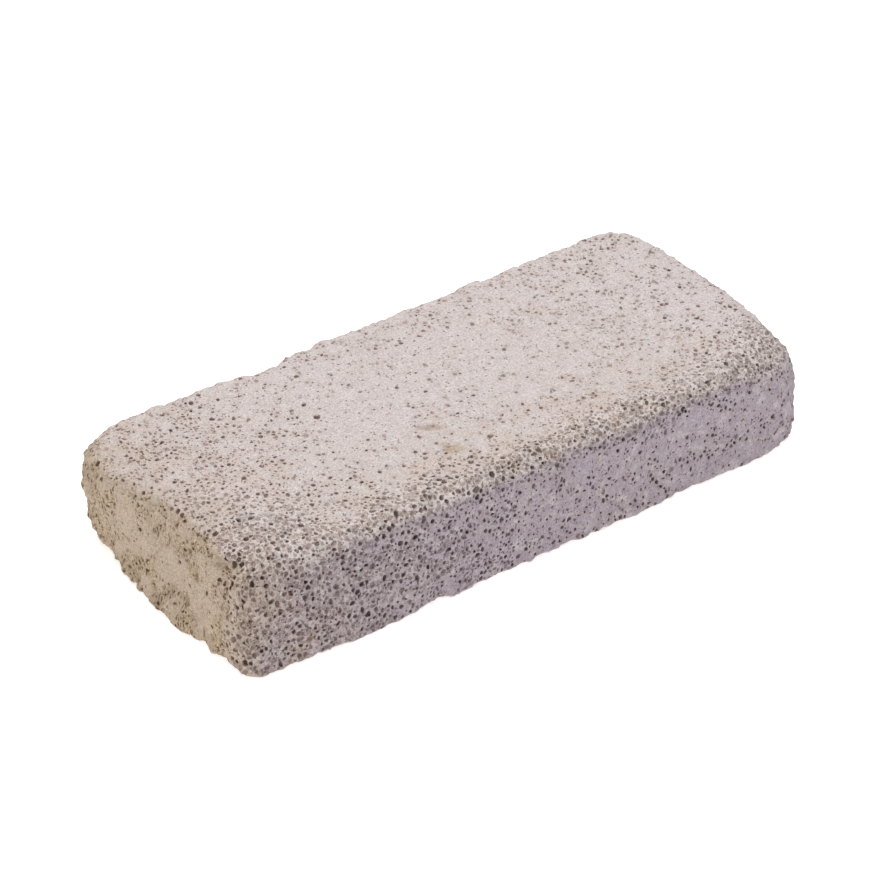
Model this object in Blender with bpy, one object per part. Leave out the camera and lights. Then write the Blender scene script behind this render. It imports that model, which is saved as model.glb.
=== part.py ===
"""A hand-size bar of pumice stone, lying flat.

One solid: a sawn block with worn edges, a broken left end and gas pits open on every side.
Metres, +Z up. The origin is under the middle of the bar, on the surface that it rests on.
"""

import math

import bmesh
import bpy
import numpy as np
from mathutils import Matrix, Vector

MM = 0.001

# The block before wear.
LENGTH = 122.0 * MM
WIDTH = 54.6 * MM
HEIGHT = 19.4 * MM

# Radii of the upright corners, seen from above.
FRONT_LEFT_RADIUS = 3.0 * MM
BACK_LEFT_RADIUS = 7.0 * MM
BACK_RIGHT_RADIUS = 7.0 * MM
FRONT_RIGHT_RADIUS = 9.5 * MM

# Radii of the long edges. Two corners of the top are worn rounder than its edges.
TOP_EDGE_RADIUS = 3.3 * MM
TOP_FRONT_RADIUS = 4.6 * MM
FRONT_RIGHT_WEAR = 5.0 * MM
FRONT_RIGHT_WEAR_REACH = 26.0 * MM
BACK_LEFT_WEAR = 3.4 * MM
BACK_LEFT_WEAR_REACH = 18.0 * MM
BOTTOM_EDGE_RADIUS = 1.0 * MM

# Unevenness of the worn sides and of the broken end: height and size of the lumps.
LUMP_HEIGHT = 0.35 * MM
LUMP_SIZE = 11.0 * MM
RIPPLE_HEIGHT = 0.22 * MM
RIPPLE_SIZE = 4.2 * MM
BREAK_HEIGHT = 0.75 * MM
BREAK_SIZE = 7.0 * MM
BREAK_REACH = 9.0 * MM

# Where the cut lines of the cage lie: distances from an edge, then an even spacing.
EDGE_LINES = (0.8 * MM, 2.2 * MM, 4.4 * MM, 7.4 * MM)
LENGTH_SPACING = 5.4 * MM
WIDTH_SPACING = 4.0 * MM
HEIGHT_LINES = (0.6 * MM, 1.6 * MM, 5.0 * MM, 8.6 * MM, 12.0 * MM, 15.0 * MM, 17.2 * MM, 18.6 * MM)

# The gas pits that are large enough to be solid form.
PIT_COUNT = 215
PIT_SMALLEST = 0.62 * MM
PIT_LARGEST = 1.15 * MM
PIT_TRIES = 40000
PIT_GAP = 0.35 * MM
PIT_SIDES = 6
PIT_FLOOR = 0.45
PIT_DEPTH = 0.95
PIT_PROUD = 0.4 * MM
BASE_CLEAR = 6.0 * MM
SEED = 20261


def clear_scene():
    for obj in list(bpy.data.objects):
        bpy.data.objects.remove(obj, do_unlink=True)


def new_collection(name):
    collection = bpy.data.collections.new(name)
    bpy.context.scene.collection.children.link(collection)
    return collection


def pumice_material():
    material = bpy.data.materials.new("pale pumice")
    material.use_nodes = True
    shader = material.node_tree.nodes["Principled BSDF"]
    shader.inputs["Base Color"].default_value = (0.60, 0.53, 0.50, 1.0)
    shader.inputs["Roughness"].default_value = 0.92
    shader.inputs["Metallic"].default_value = 0.0
    return material


def smooth_step(value, low, high):
    """0 below low, 1 above high, smooth between."""
    t = np.clip((value - low) / (high - low), 0.0, 1.0)
    return t * t * (3.0 - 2.0 * t)


def bump(distance):
    """1 at distance 0, falling smoothly to 0 at distance 1 on either side."""
    t = np.clip(np.abs(distance), 0.0, 1.0)
    return (1.0 - t * t) ** 2


def value_noise(points, cell, seed):
    """Smooth noise between -1 and 1, with features about one cell wide."""
    side = 64
    table = np.random.default_rng(seed).uniform(-1.0, 1.0, (side, side, side))
    place = points / cell + side / 2 + 0.37
    base = np.floor(place).astype(int)
    t = place - base
    t = t * t * (3.0 - 2.0 * t)
    total = np.zeros(len(points))
    for corner in np.ndindex(2, 2, 2):
        weight = np.prod(np.where(np.array(corner), t, 1.0 - t), axis=1)
        i, j, k = ((base + corner) % side).T
        total += weight * table[i, j, k]
    return total


def round_plan(points):
    """Rounds the upright corners. Returns the new x and y, and the direction out of the side."""
    x, y = points[:, 0], points[:, 1]
    left = np.where(y < 0.0, FRONT_LEFT_RADIUS, BACK_LEFT_RADIUS)
    right = np.where(y < 0.0, FRONT_RIGHT_RADIUS, BACK_RIGHT_RADIUS)
    radius = np.where(x < 0.0, left, right)
    core_x = np.clip(x, radius - LENGTH / 2, LENGTH / 2 - radius)
    core_y = np.clip(y, radius - WIDTH / 2, WIDTH / 2 - radius)
    core = np.column_stack([core_x, core_y])
    reach = np.column_stack([x, y]) - core
    square = np.abs(reach).max(axis=1, keepdims=True)
    length = np.maximum(np.linalg.norm(reach, axis=1, keepdims=True), 1e-12)
    plan = core + reach * square / length
    to_end = LENGTH / 2 - np.abs(x)
    to_side = WIDTH / 2 - np.abs(y)
    end_first = (to_end < to_side)[:, None]
    along = np.column_stack([np.sign(x), np.zeros_like(x)])
    across = np.column_stack([np.zeros_like(y), np.sign(y)])
    outward = np.where(square > 1e-9, reach / length, np.where(end_first, along, across))
    return plan, outward, np.minimum(to_end, to_side)


def top_radius(x, y):
    """The radius of the top's edge: larger along the front, and larger still at two corners."""
    front = smooth_step(-y, 0.0, WIDTH / 2)
    radius = TOP_EDGE_RADIUS + (TOP_FRONT_RADIUS - TOP_EDGE_RADIUS) * front
    from_right = np.hypot(x - LENGTH / 2, y + WIDTH / 2)
    from_left = np.hypot(x + LENGTH / 2, y - WIDTH / 2)
    radius = radius + FRONT_RIGHT_WEAR * bump(from_right / FRONT_RIGHT_WEAR_REACH)
    return radius + BACK_LEFT_WEAR * bump(from_left / BACK_LEFT_WEAR_REACH)


def round_block(points):
    """Rounds the block's corners in plan, then its top and bottom edges in profile."""
    x, y, z = points.T
    plan, outward, inset = round_plan(points)
    upper = z > HEIGHT / 2
    radius = np.where(upper, top_radius(x, y), BOTTOM_EDGE_RADIUS)
    out = np.maximum(0.0, radius - inset)
    rise = np.maximum(0.0, np.where(upper, z - (HEIGHT - radius), radius - z))
    scale = np.maximum(out, rise) / np.maximum(np.hypot(out, rise), 1e-12)
    pull = np.where(np.maximum(out, rise) > 1e-9, scale - 1.0, 0.0)
    plan = plan + outward * (out * pull)[:, None]
    return np.column_stack([plan, z + np.where(upper, 1.0, -1.0) * rise * pull])


def wear_sides(points):
    """The large departures from a true block: leaning ends, a bulged front, a notch and a chip."""
    x, y, z = points.T
    height = np.clip(z / HEIGHT, 0.0, 1.0)
    at_left = smooth_step(-x, LENGTH / 2 - 14.0 * MM, LENGTH / 2 - 1.0 * MM)
    toward_back = np.clip((y + 2.0 * MM) / (28.0 * MM), 0.0, 1.0)
    lean = 4.6 * MM * (1.0 - height) ** 1.3 * toward_back**1.2
    hollow = 2.6 * MM * height * bump((y + 5.0 * MM) / (14.0 * MM))
    corner = 1.3 * MM * height * smooth_step(y, 12.0 * MM, WIDTH / 2)
    x = x + at_left * (lean + hollow + corner)
    at_right = smooth_step(x, LENGTH / 2 - 14.0 * MM, LENGTH / 2 - 1.0 * MM)
    x = x + at_right * (0.4 * MM + 1.0 * MM * bump((y - 2.0 * MM) / (22.0 * MM)))
    at_front = smooth_step(-y, WIDTH / 2 - 10.0 * MM, WIDTH / 2)
    bulge = 0.8 * MM * bump((x + 18.0 * MM) / (56.0 * MM)) - 0.3 * MM * bump((x - 40.0 * MM) / (18.0 * MM))
    y = y - at_front * bulge * (1.0 - height)
    at_back = smooth_step(y, WIDTH / 2 - 8.0 * MM, WIDTH / 2)
    y = y - at_back * height * 1.6 * MM * bump((x + 20.5 * MM) / (7.0 * MM))
    chip = bump((x + 23.5 * MM) / (4.5 * MM)) * bump(z / (4.5 * MM))
    y = y + at_front * 1.3 * MM * chip
    return np.column_stack([x, y, z])


def roughen(points):
    """Lumps and ripples on every side but the underside, and steeper ridges on the broken end."""
    x, y, z = points.T
    inset = np.minimum(LENGTH / 2 - np.abs(x), WIDTH / 2 - np.abs(y))
    above = smooth_step(z, 0.0, 2.5 * MM)
    side = 1.0 - smooth_step(inset, 1.0 * MM, 6.0 * MM)
    over = smooth_step(z, HEIGHT - 5.0 * MM, HEIGHT - 1.0 * MM)
    sign = np.where((LENGTH / 2 - np.abs(x) < WIDTH / 2 - np.abs(y))[:, None], [1.0, 0.0], [0.0, 1.0])
    sideways = sign * np.sign(np.column_stack([x, y])) * side[:, None]
    swell = LUMP_HEIGHT * value_noise(points, LUMP_SIZE, SEED)
    swell = swell + RIPPLE_HEIGHT * value_noise(points, RIPPLE_SIZE, SEED + 1) * (0.35 + 0.65 * side)
    moved = np.column_stack([x, y]) + sideways * swell[:, None]
    lifted = z + over * swell * (1.0 - 0.5 * side) * above
    broken = 1.0 - smooth_step(x + LENGTH / 2, 0.5 * MM, BREAK_REACH)
    slanted = np.column_stack([x, y + 0.6 * z, 0.45 * (z - 0.5 * y)])
    ridges = value_noise(slanted, BREAK_SIZE, SEED + 2)
    ridges = ridges + 0.55 * value_noise(slanted, BREAK_SIZE / 2.6, SEED + 3)
    moved[:, 0] -= broken * BREAK_HEIGHT * ridges * side
    return np.column_stack([moved, lifted])


def shape(points):
    """Carries points of the plain block onto the worn stone."""
    return roughen(wear_sides(round_block(points)))


def even_lines(size, spacing):
    """Cut lines along a side: the edge lines from both ends, and even ones between them."""
    inner = size / 2 - EDGE_LINES[-1]
    steps = round(2 * inner / spacing)
    middle = [-inner + 2 * inner * i / steps for i in range(1, steps)]
    edges = [size / 2 - line for line in EDGE_LINES]
    return [-line for line in edges] + middle + edges


def cage():
    """The plain block, cut by planes into quads that the shape can bend."""
    mesh = bmesh.new()
    size = Matrix.Diagonal((LENGTH, WIDTH, HEIGHT, 1.0))
    bmesh.ops.create_cube(mesh, size=1.0, matrix=Matrix.Translation((0.0, 0.0, HEIGHT / 2)) @ size)
    cuts = [(Vector((line, 0.0, 0.0)), Vector((1.0, 0.0, 0.0))) for line in even_lines(LENGTH, LENGTH_SPACING)]
    cuts += [(Vector((0.0, line, 0.0)), Vector((0.0, 1.0, 0.0))) for line in even_lines(WIDTH, WIDTH_SPACING)]
    cuts += [(Vector((0.0, 0.0, line)), Vector((0.0, 0.0, 1.0))) for line in HEIGHT_LINES]
    for place, direction in cuts:
        everything = mesh.verts[:] + mesh.edges[:] + mesh.faces[:]
        bmesh.ops.bisect_plane(mesh, geom=everything, dist=1e-7, plane_co=place, plane_no=direction)
    return mesh


def block_sides():
    """Each side of the block: its middle, two half sides, and how thickly pits lie on it."""
    half = Vector((LENGTH / 2, WIDTH / 2, HEIGHT / 2))
    middle = Vector((0.0, 0.0, HEIGHT / 2))
    along, across, upward = Vector((half.x, 0, 0)), Vector((0, half.y, 0)), Vector((0, 0, half.z))
    return [
        (middle + upward, along, across, 1.0),
        (middle - upward, across, along, 0.5),
        (middle - across, along, upward, 1.6),
        (middle + across, upward, along, 1.4),
        (middle - along, upward, across, 1.0),
        (middle + along, across, upward, 1.4),
    ]


def pit_chance(points):
    """Pits crowd toward the top's edges and the near left corner, and are few in the middle."""
    x, y, z = points.T
    inset = np.minimum(LENGTH / 2 - np.abs(x), WIDTH / 2 - np.abs(y))
    rim = bump(inset / (15.0 * MM)) * smooth_step(z, 0.3 * HEIGHT, HEIGHT)
    corner = bump(np.hypot(x + LENGTH / 2, y + WIDTH / 2) / (48.0 * MM))
    return np.clip(0.10 + 0.55 * rim + 0.75 * corner, 0.0, 1.0)


def pit_places():
    """Where the pits open: a place on the plain block, two directions along its side, and a radius."""
    rng = np.random.default_rng(SEED + 10)
    sides = block_sides()
    areas = np.array([side[1].length * side[2].length * side[3] for side in sides])
    which = rng.choice(len(sides), PIT_TRIES, p=areas / areas.sum())
    spread = rng.uniform(-0.97, 0.97, (PIT_TRIES, 2))
    sizes = PIT_SMALLEST + (PIT_LARGEST - PIT_SMALLEST) * rng.random(PIT_TRIES) ** 2.2
    luck = rng.random(PIT_TRIES)
    middles, first, second = (np.array([side[i] for side in sides])[which] for i in range(3))
    places = middles + first * spread[:, :1] + second * spread[:, 1:]
    wanted = luck < pit_chance(places)
    under = (places[:, 2] < 1e-6) & (np.hypot(places[:, 0], places[:, 1]) < BASE_CLEAR)
    wanted &= ~under
    chosen = thin_out(places[wanted], sizes[wanted])
    keep = np.flatnonzero(wanted)[chosen]
    return places[keep], first[keep], second[keep], sizes[keep]


def thin_out(places, sizes):
    """Takes pits in turn, leaving out any that would run into one already taken."""
    taken = []
    for i in range(len(places)):
        gaps = np.linalg.norm(places[taken] - places[i], axis=1) - sizes[taken] - sizes[i]
        if np.all(gaps > PIT_GAP):
            taken.append(i)
        if len(taken) == PIT_COUNT:
            break
    return np.array(taken)


def pit_frames():
    """Each pit's mouth on the worn surface, the direction out of it, and its radius."""
    places, first, second, sizes = pit_places()
    step = 0.3 * MM
    along = first / np.linalg.norm(first, axis=1, keepdims=True) * step
    across = second / np.linalg.norm(second, axis=1, keepdims=True) * step
    slope = shape(places + along) - shape(places - along)
    other = shape(places + across) - shape(places - across)
    outward = np.cross(slope, other)
    outward /= np.linalg.norm(outward, axis=1, keepdims=True)
    return shape(places), outward, sizes


def pit_cutter(shift, collection):
    """All the pits as one cutter: six-sided cups, narrower inside, each turned its own way."""
    rng = np.random.default_rng(SEED + 11)
    mesh = bmesh.new()
    for mouth, outward, radius in zip(*pit_frames()):
        depth = PIT_DEPTH * radius + PIT_PROUD
        middle = mouth + shift + outward * (PIT_PROUD - depth / 2)
        turn = Vector(outward).to_track_quat("Z", "Y").to_matrix().to_4x4()
        spin = Matrix.Rotation(rng.uniform(0.0, math.tau), 4, "Z")
        bmesh.ops.create_cone(
            mesh,
            cap_ends=True,
            segments=PIT_SIDES,
            radius1=PIT_FLOOR * radius,
            radius2=radius,
            depth=depth,
            matrix=Matrix.Translation(Vector(middle)) @ turn @ spin,
        )
    cutter = object_from(mesh, "pit_cutter", collection)
    cutter.hide_render = True
    cutter.display_type = "WIRE"
    return cutter


def object_from(mesh, name, collection):
    data = bpy.data.meshes.new(name)
    mesh.to_mesh(data)
    mesh.free()
    obj = bpy.data.objects.new(name, data)
    collection.objects.link(obj)
    return obj


def bend_cage(mesh):
    """Moves the cage's points onto the stone, and returns the shift that brought it over the origin."""
    points = np.array([vertex.co for vertex in mesh.verts])
    worn = shape(points)
    low, high = worn.min(axis=0), worn.max(axis=0)
    shift = np.array([-(low[0] + high[0]) / 2, -(low[1] + high[1]) / 2, 0.0])
    for vertex, place in zip(mesh.verts, worn + shift):
        vertex.co = place
    flat_edges = [edge for edge in mesh.edges if all(abs(v.co.z) < 1e-7 for v in edge.verts)]
    flat_verts = [vertex for vertex in mesh.verts if abs(vertex.co.z) < 1e-7]
    bmesh.ops.dissolve_limit(mesh, angle_limit=math.radians(0.1), verts=flat_verts, edges=flat_edges)
    bmesh.ops.triangulate(mesh, faces=mesh.faces[:])
    return shift


def build():
    clear_scene()
    parts = new_collection("pumice stone")
    cutters = new_collection("cutters")
    mesh = cage()
    shift = bend_cage(mesh)
    stone = object_from(mesh, "pumice_stone", parts)
    stone.data.materials.append(pumice_material())
    pits = stone.modifiers.new("pits", "BOOLEAN")
    pits.operation = "DIFFERENCE"
    pits.object = pit_cutter(shift, cutters)


build()
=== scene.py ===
import math

import bpy
import numpy as np
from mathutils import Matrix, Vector


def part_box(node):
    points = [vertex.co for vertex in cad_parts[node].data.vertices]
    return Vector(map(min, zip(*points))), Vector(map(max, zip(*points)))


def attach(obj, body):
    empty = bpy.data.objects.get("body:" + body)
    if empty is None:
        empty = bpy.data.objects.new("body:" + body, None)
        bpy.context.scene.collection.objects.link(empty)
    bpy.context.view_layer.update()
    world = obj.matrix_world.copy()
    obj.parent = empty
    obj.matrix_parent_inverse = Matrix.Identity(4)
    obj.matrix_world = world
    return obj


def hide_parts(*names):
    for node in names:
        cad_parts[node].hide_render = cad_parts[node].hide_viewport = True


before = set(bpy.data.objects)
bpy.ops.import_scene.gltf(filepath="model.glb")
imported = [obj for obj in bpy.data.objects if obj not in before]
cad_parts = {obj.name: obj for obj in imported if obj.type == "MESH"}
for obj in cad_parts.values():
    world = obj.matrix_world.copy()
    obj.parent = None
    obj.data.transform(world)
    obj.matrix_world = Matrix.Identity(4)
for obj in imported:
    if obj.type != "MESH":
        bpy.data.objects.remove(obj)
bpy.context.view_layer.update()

scene = bpy.context.scene
mm = 0.001


# Helpers for whole arrays of points.

# 0 below low, 1 above high, smooth between.
def smoothStep(value, low, high):
    t = np.clip((value - low) / (high - low), 0.0, 1.0)
    return t * t * (3.0 - 2.0 * t)


# 1 at distance 0, falling smoothly to 0 at distance 1 on either side.
def bump(distance):
    t = np.clip(np.abs(distance), 0.0, 1.0)
    return (1.0 - t * t) ** 2


def rising(value, share, low, high):
    return share * smoothStep(value, low, high)


def falling(value, share, low, high):
    return share * (1.0 - smoothStep(value, low, high))


def hump(value, most, middle, half):
    return most * bump((value - middle) / half)


def lengths(rows):
    return np.linalg.norm(rows, axis=1, keepdims=True)


# Smooth noise between -1 and 1: random values at the corners of cubes, blended inside each cube.
def valueNoise(points, cell, seed):
    side = 64
    table = np.random.default_rng(seed).uniform(-1.0, 1.0, (side, side, side))
    place = points / cell + side / 2 + 0.37
    base = np.floor(place).astype(int)
    t = place - base
    t = t * t * (3.0 - 2.0 * t)
    total = np.zeros(len(points))
    for corner in np.ndindex(2, 2, 2):
        weight = np.prod(np.where(np.array(corner), t, 1.0 - t), axis=1)
        i, j, k = ((base + corner) % side).T
        total += weight * table[i, j, k]
    return total


# Layers of smooth noise added to a start. A layer is its height, its size and its seed.
def layeredNoise(points, layers, start=0.0):
    return sum((rise * valueNoise(points, size, seed) for rise, size, seed in layers), start)


# The stone's form, with the same driving dimensions as its solid. Places are on the true block it is worn
# from: x from its middle to the right, y from its middle to the back, z up from its foot.
stone = {
    "size": (122 * mm, 54.6 * mm, 19.4 * mm),
    "planRadii": {"frontLeft": 3 * mm, "backLeft": 7 * mm, "backRight": 7 * mm, "frontRight": 9.5 * mm},
    "topEdgeRadius": 3.3 * mm,
    "topFrontRadius": 3.2 * mm,
    "bottomEdgeRadius": 1 * mm,
    "wornCorners": (  # end, side, extra radius of the top edge, and how far that reaches
        (1, -1, 5 * mm, 26 * mm),
        (-1, -1, 3.4 * mm, 20 * mm),
        (-1, 1, 3.4 * mm, 18 * mm),
    ),
    "endWear": (47 * mm, 60 * mm),  # from the middle: where it begins, and where it is whole
    "leftLean": (4.6 * mm, -2 * mm, 28 * mm),  # most depth at the foot; from this y, over this length
    "leftHollow": (2.6 * mm, -5 * mm, 14 * mm),  # depth at the top, middle in y, half width
    "leftBackCorner": (1.3 * mm, 12 * mm),  # depth at the top, and from this y
    "leftNearCorner": (1.4 * mm, 13 * mm),  # depth at the top, and reach
    "rightWear": 0.4 * mm,
    "rightHollow": (1 * mm, 2 * mm, 22 * mm),
    "frontWear": 10 * mm,  # how far in from the front its wear reaches
    "backWear": 8 * mm,
    "frontBulge": (0.8 * mm, -18 * mm, 56 * mm),  # depth at the foot, middle in x, half length
    "frontPinch": (0.3 * mm, 40 * mm, 18 * mm),
    "frontLean": 0.6 * mm,  # depth at the top
    "notch": (1.6 * mm, -20.5 * mm, 7 * mm),  # on the back: depth, middle in x, half length
    "chip": (1.1 * mm, -23.5 * mm, 4.5 * mm),  # at the foot of the front
    "lump": (0.35 * mm, 11 * mm),  # height and size
    "ripple": (0.22 * mm, 4.2 * mm),
    "break": (0.75 * mm, 7 * mm),
    "breakReach": 9 * mm,
    "seed": 20261,
    "gridSpacing": 0.19 * mm,
    "sheetMargin": 2 * mm,  # between the sides' rectangles in the UV map
    "mostTriangles": 194000,
    "sharpFrom": 50.0,  # degrees
    "brokenEnd": {
        "border": (0.4 * mm, 2.4 * mm),  # from the left end
        "nearCorner": (0.85, 17 * mm, 27 * mm),  # this share of it fades toward the front
        "raggedness": ((0.9 * mm, 3 * mm, 411), (0.4 * mm, 1.2 * mm, 412)),
        "torn": 0.48,  # how torn it is on average, and how unevenly
        "tearing": ((0.35, 4 * mm, 431), (0.45, 1.6 * mm, 432)),
        "smooth": (  # in millimetres, y, z, half width and half height: flat pale patches
            (5.8, 12.0, 5.0, 4.2),
            (-5.0, 9.0, 4.5, 3.0),
            (-13.5, 7.0, 5.0, 4.2),
            (-15.0, 15.5, 3.0, 2.4),
        ),
        "rough": (  # torn hollows
            (7.5, 2.5, 4.0, 3.4),
            (1.2, 7.0, 3.4, 1.6),
            (-9.0, 3.4, 2.4, 3.6),
            (-11.4, 12.2, 2.4, 1.6),
            (16.0, 13.0, 3.4, 5.6),
            (21.0, 6.0, 4.0, 6.0),
            (-19.0, 2.4, 3.0, 2.4),
        ),
        "holes": (  # the same, and the depth
            (-8.9, 15.0, 0.9, 0.5, 1.3),
            (-11.3, 12.0, 0.6, 0.7, 1.0),
            (-13.9, 2.6, 0.3, 1.3, 0.9),
            (6.2, 6.4, 0.4, 0.4, 0.8),
        ),
        "holeRaggedness": ((0.25, 0.7 * mm, 433),),
    },
    "relief": {  # heights in millimetres
        "grain": ((0.035, 0.9 * mm, 426), (0.03, 0.5 * mm, 427), (0.07, 3.5 * mm, 428)),
        "crumble": ((0.34, 2.3 * mm, 421), (0.26, 1.2 * mm, 422), (0.14, 0.65 * mm, 420)),
        "ridge": (0.26, 3.6 * mm, 423),
        "tornLumps": ((0.26, 2 * mm, 424),),
        "tornDepth": 0.26,
        "fibres": ((0.32, 0.95 * mm, 425), (0.26, 0.55 * mm, 429)),
    },
    "swells": (  # in millimetres: a place, half sizes along x, y and z, and the height
        ((-61, 22, 5), (6, 5, 5), 0.6),
        ((-61, 11, 0), (5, 4.5, 4), 1),
        ((-61, -1, 0), (4, 3, 3.5), -0.4),
        ((-61, -8.5, 0), (5, 4.6, 4), 1.8),
        ((-61, -16.5, 0), (3.5, 3, 3.5), 0.4),
        ((-61, -20.5, 0), (4, 2.4, 3), -0.9),
        ((-61, 20.3, 14.5), (6, 5.5, 4.5), -0.9),
        ((-48, 27.3, 18), (15, 6, 6), 0.45),
        ((-33, 27.3, 18), (9, 6, 6), 0.35),
        ((50, 27.3, 19), (5, 5, 4), -0.25),
        ((58, 25, 19), (5, 5, 5), 0.4),
        ((60.8, 18.7, 18.5), (4, 4, 4), 0.3),
        ((61, 4.8, 18), (6, 9, 6), -0.4),
        ((60.5, -16.5, 16), (6, 6, 6), -0.6),
        ((61, -21, 6), (5, 6, 5), 0.25),
        ((55, -26.5, 0.5), (6, 6, 4), -0.5),
        ((40, -27.3, 0), (9, 5, 5), 0.35),
        ((30.5, -27.3, 0), (5, 4, 4), -0.2),
        ((17, -27.3, 0), (14, 5, 5), 0.35),
        ((-11, -27.3, 0), (9, 5, 5), -0.3),
        ((-38, -27.3, 0.5), (18, 6, 5), 0.45),
        ((-9.9, -7.3, 19.4), (2.4, 1.6, 3), -0.3),
        ((-10.2, -14.7, 19.4), (2.6, 2, 3), -0.35),
    ),
    "pores": {  # the largest first; tried: places tried per square millimetre; chance: that a place is used
        "large": {
            "radius": (0.4 * mm, 0.58 * mm),
            "tried": 0.7,
            "chance": {"foam": 0.06, "coarse": 0.5, "single": 0.025, "torn": 0, "anywhere": 0},
        },
        "medium": {
            "radius": (0.29 * mm, 0.43 * mm),
            "tried": 2.2,
            "chance": {"foam": 0.65, "coarse": 0, "single": 0.14, "torn": 0.02, "anywhere": 0.008},
        },
        "small": {
            "radius": (0.18 * mm, 0.28 * mm),
            "tried": 3.6,
            "chance": {"foam": 1.0, "coarse": 0, "single": 0.21, "torn": 0.15, "anywhere": 0.02},
        },
    },
    "poreWall": 0.12 * mm,
    "porePacking": 0.8,  # how near pores lie, over the sum of their radii
    "poreStretch": 0.32,
    "poresDrawnOut": ((0.61, 0.79, 0.0), 0.2),  # on the top: along which direction, and by how much
    "poreRagged": (0.2 * mm, 0.6 * mm, (311, 312, 313)),  # how far a rim strays, over what size; seeds
    "poreSeed": 71,
    "foam": {  # where the stone is a packed foam
        "band": (5.5 * mm, 1.5 * mm),  # reach along the front top edge, and how much more on the right
        "nearCorner": (-58 * mm, 19 * mm, 60 * mm),  # x, reach, and how far down
        "frontLeft": (-60 * mm, 38 * mm),  # x and reach
        "rightCorner": (60 * mm, 6 * mm, 8 * mm),  # x, distance from the front, and reach
        "raggedness": ((0.22, 6 * mm, 301), (0.14, 2.4 * mm, 302)),
    },
    "scatter": {  # how crowded single pores are
        "everywhere": 0.1,
        "left": (1.05, -50 * mm, -14 * mm),  # how crowded, and over which x it changes
        "right": (0.52, 12 * mm, 50 * mm),
        "front": 0.8,
        "sparse": 0.28,  # so much less on the right of the front
        "back": (0.55, 13 * mm),  # how crowded, and reach from the back top edge
        "patches": ((0.22, 8 * mm, 304), (0.18, 3 * mm, 305)),
        "clusters": ((1.5, 2.3 * mm, 306), (0.5, 5 * mm, 307)),
    },
    "coarse": {  # where the largest pores are
        "corner": (-58 * mm, -27 * mm, 8 * mm),
        "cornerReach": 40 * mm,
        "edge": (0.55, 7 * mm),  # share and reach along the front top edge
        "patches": ((0.4, 5 * mm, 303),),
    },
    "tan": {  # how far the broken end's colour spreads
        "reach": (-1 * mm, 11 * mm),
        "slant": 0.9,
        "least": 0.6,
        "raggedness": ((3 * mm, 5 * mm, 441), (1.6 * mm, 1.6 * mm, 442)),
    },
    "warm": {  # how warm the colour is, and over which distances that changes
        "top": (0.3, 0.2, 0.7),  # everywhere, less on the right, and more at the front and the left
        "front": (5 * mm, 26 * mm),
        "left": (-58 * mm, -20 * mm),
        "right": (20 * mm, 55 * mm),
        "sidesNear": (0.45, 5 * mm, 24 * mm),
        "sidesLeft": (0.75, -62 * mm, -8 * mm),
        "patches": ((0.15, 5 * mm, 443),),
    },
}
length, width, height = stone["size"]


# Upright corners: a square corner's points are drawn in to an arc about the corner's own centre.
def roundPlan(points):
    x, y = points[:, 0], points[:, 1]
    radii = stone["planRadii"]
    left = np.where(y < 0.0, radii["frontLeft"], radii["backLeft"])
    right = np.where(y < 0.0, radii["frontRight"], radii["backRight"])
    radius = np.where(x < 0.0, left, right)
    coreX = np.clip(x, radius - length / 2, length / 2 - radius)
    coreY = np.clip(y, radius - width / 2, width / 2 - radius)
    core = np.column_stack([coreX, coreY])
    reach = np.column_stack([x, y]) - core
    square = np.abs(reach).max(axis=1, keepdims=True)
    far = np.maximum(lengths(reach), 1e-12)
    plan = core + reach * square / far
    toEnd = length / 2 - np.abs(x)
    toSide = width / 2 - np.abs(y)
    endFirst = (toEnd < toSide)[:, None]
    along = np.column_stack([np.sign(x), np.zeros_like(x)])
    across = np.column_stack([np.zeros_like(y), np.sign(y)])
    outward = np.where(square > 1e-9, reach / far, np.where(endFirst, along, across))
    return plan, outward, np.minimum(toEnd, toSide)


# The radius of the top edge, larger at the worn corners.
def topRadius(x, y):
    front = smoothStep(-y, 0.0, width / 2)
    radius = stone["topEdgeRadius"] + (stone["topFrontRadius"] - stone["topEdgeRadius"]) * front
    for end, side, extra, reach in stone["wornCorners"]:
        far = np.hypot(x - end * length / 2, y - side * width / 2)
        radius = radius + extra * bump(far / reach)
    return radius


# Top and bottom edges: in the upright section through an edge, the same draw-in to an arc.
def roundBlock(points):
    x, y, z = points.T
    plan, outward, inset = roundPlan(points)
    upper = z > height / 2
    radius = np.where(upper, topRadius(x, y), stone["bottomEdgeRadius"])
    out = np.maximum(0.0, radius - inset)
    rise = np.maximum(0.0, np.where(upper, z - (height - radius), radius - z))
    scale = np.maximum(out, rise) / np.maximum(np.hypot(out, rise), 1e-12)
    pull = np.where(np.maximum(out, rise) > 1e-9, scale - 1.0, 0.0)
    plan = plan + outward * (out * pull)[:, None]
    return np.column_stack([plan, z + np.where(upper, 1.0, -1.0) * rise * pull])


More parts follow.
